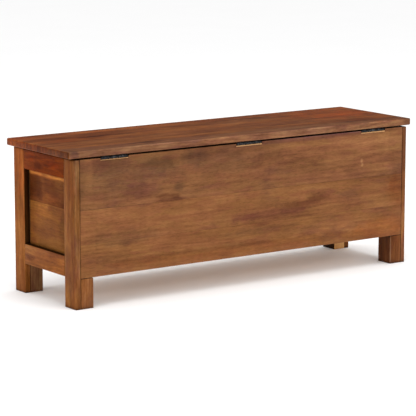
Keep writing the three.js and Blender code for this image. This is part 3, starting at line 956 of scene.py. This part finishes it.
MATERIALS = {
    "black_steel": blackened_steel("black_steel", srgb(34, 34, 36), srgb(92, 90, 90), 0.42),
    "screw_steel": blackened_steel("screw_steel", srgb(44, 44, 46), srgb(112, 110, 108), 0.36),
    "rubber": soft_rubber("rubber"),
}


def wood_for(node):
    """The wood of the node's slot, with the node's own marks if it has any."""
    slot = SLOTS[node]
    name = f"{slot}_of_{node}" if node in MARKS else slot
    if name not in MATERIALS:
        lacquer = THIN_LACQUER if node in RUBBED_THIN else LACQUER
        MATERIALS[name] = wood(name, WOODS[slot], MARKS.get(node, ()), lacquer)
    return MATERIALS[name]


# ---------- pieces ----------
def stand_for(node, piece, material):
    """The piece takes the CAD node's place, on its body and with its slot."""
    piece.data.materials.clear()
    piece.data.materials.append(material)
    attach(piece, frame["nodes"][node]["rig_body"])
    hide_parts(node)


def wooden_piece(node):
    boards = BOARDS.get(node, {})
    bm = node_solid(node)
    _, across, _ = grain_axes(node)
    cut_at(bm, across, boards.get("seams", []))
    if node.endswith("stile"):
        cut_at(bm, Z, [UNDER_RAILS, *RECESS])
    if node == "rear_panel":
        cut_at(bm, X, [-LEG_INNER_X, LEG_INNER_X])
    shortest = SHORTEST_IN_PANEL if node == "rear_panel" else 0.0
    along_top = "_end_" in node and not node.endswith("bottom_rail")
    piece = eased(bm, "wood_" + node, ARRIS, shortest, top_radius=TOP_ARRIS if along_top else 0.0)
    lay_grain(piece, node, **boards)
    stand_for(node, piece, wood_for(node))


def lid_piece(node):
    boards = BOARDS[node]
    bm = rounded_slab(node, SEAT_CORNER, SEAT_ARRIS)
    cut_at(bm, Y, boards["seams"])
    piece = smooth_object(bm, "wood_" + node)
    lay_grain(piece, node, **boards)
    stand_for(node, piece, wood_for(node))


def metal_piece(node):
    piece = eased(node_solid(node), "metal_" + node, METAL_ARRIS, SHORTEST_IN_METAL, segments=2)
    stand_for(node, piece, MATERIALS[SLOTS[node]])


def pad_piece(node):
    piece = eased(node_solid(node), "pad_" + node, PAD_ARRIS)
    stand_for(node, piece, MATERIALS[SLOTS[node]])


for node, slot in SLOTS.items():
    if node == "lid_board":
        lid_piece(node)
    elif slot.endswith("wood"):
        wooden_piece(node)
    elif slot.endswith("steel"):
        metal_piece(node)
    else:
        pad_piece(node)


# ---------- studio ----------
WORLD_LIGHT = 1.05
WORLD_IN_REFLECTIONS = 0.12
FLOOR_HALF_SIZE = 30

# The soft lights: where each stands, what it faces, its width and height, and its power in watts.
LIGHTS = {
    "key": ((-0.6, 4.4, 1.9), (-0.1, 0, 0.2), (2.5, 2.0), 71),
    "end_fill": ((4.2, 1.4, 1.4), (0.4, 0, 0.2), (2.0, 2.0), 36),
    "overhead": ((0.0, 0.3, 3.2), (0.0, 0.0, 0.3), (3.0, 3.0), 42),
}


def studio_floor():
    bm = bmesh.new()
    bmesh.ops.create_grid(bm, x_segments=8, y_segments=8, size=FLOOR_HALF_SIZE)
    mesh = bpy.data.meshes.new("floor")
    bm.to_mesh(mesh)
    bm.free()
    floor = bpy.data.objects.new("studio_floor", mesh)
    bpy.context.scene.collection.objects.link(floor)
    g = Graph("studio_floor")
    mottle = g.noise(g.place(), scale=3, detail=3)
    g.surface(g.mix(mottle, (0.96, 0.96, 0.96, 1), (0.98, 0.98, 0.98, 1)), 0.9)
    mesh.materials.append(g.material)


def area_light(name, place, target, size, power):
    light = bpy.data.lights.new(name, "AREA")
    light.shape = "RECTANGLE"
    light.size, light.size_y = size
    light.energy = power
    lamp = bpy.data.objects.new(name, light)
    lamp.location = place
    lamp.rotation_euler = (Vector(target) - Vector(place)).to_track_quat("-Z", "Y").to_euler()
    bpy.context.scene.collection.objects.link(lamp)


def soft_surroundings():
    """White all round for the eye and for the diffuse light, and dimmer in reflections."""
    world = bpy.data.worlds.new("studio")
    world.use_nodes = True
    nodes, links = world.node_tree.nodes, world.node_tree.links
    path = nodes.new("ShaderNodeLightPath")
    strength = nodes.new("ShaderNodeMapRange")
    strength.inputs["To Min"].default_value = WORLD_LIGHT
    strength.inputs["To Max"].default_value = WORLD_IN_REFLECTIONS
    links.new(path.outputs["Is Glossy Ray"], strength.inputs["Value"])
    links.new(strength.outputs["Result"], nodes["Background"].inputs["Strength"])
    nodes["Background"].inputs["Color"].default_value = (1, 1, 1, 1)
    bpy.context.scene.world = world


def studio():
    studio_floor()
    soft_surroundings()
    for name, settings in LIGHTS.items():
        area_light(name, *settings)
    bpy.context.scene.view_settings.view_transform = "Standard"


# The camera looks at the hinged side and the right end from a little above the seat, through a long lens.
CAMERA_TARGET = Vector((0.0173, -0.0088, 0.1836))
CAMERA_DISTANCE = 5.769
CAMERA_AZIMUTH = math.radians(144.97)
CAMERA_ELEVATION = math.radians(10.07)
CAMERA_LENS = 186.5
CAMERA_SENSOR = 36


def camera():
    back = Vector((
        math.sin(CAMERA_AZIMUTH) * math.cos(CAMERA_ELEVATION),
        -math.cos(CAMERA_AZIMUTH) * math.cos(CAMERA_ELEVATION),
        math.sin(CAMERA_ELEVATION),
    ))
    data = bpy.data.cameras.new("camera")
    data.sensor_width = CAMERA_SENSOR
    data.lens = CAMERA_LENS
    view = bpy.data.objects.new("camera", data)
    view.location = CAMERA_TARGET + back * CAMERA_DISTANCE
    view.rotation_euler = back.to_track_quat("Z", "Y").to_euler()
    bpy.context.scene.collection.objects.link(view)
    bpy.context.scene.camera = view


camera()
studio()
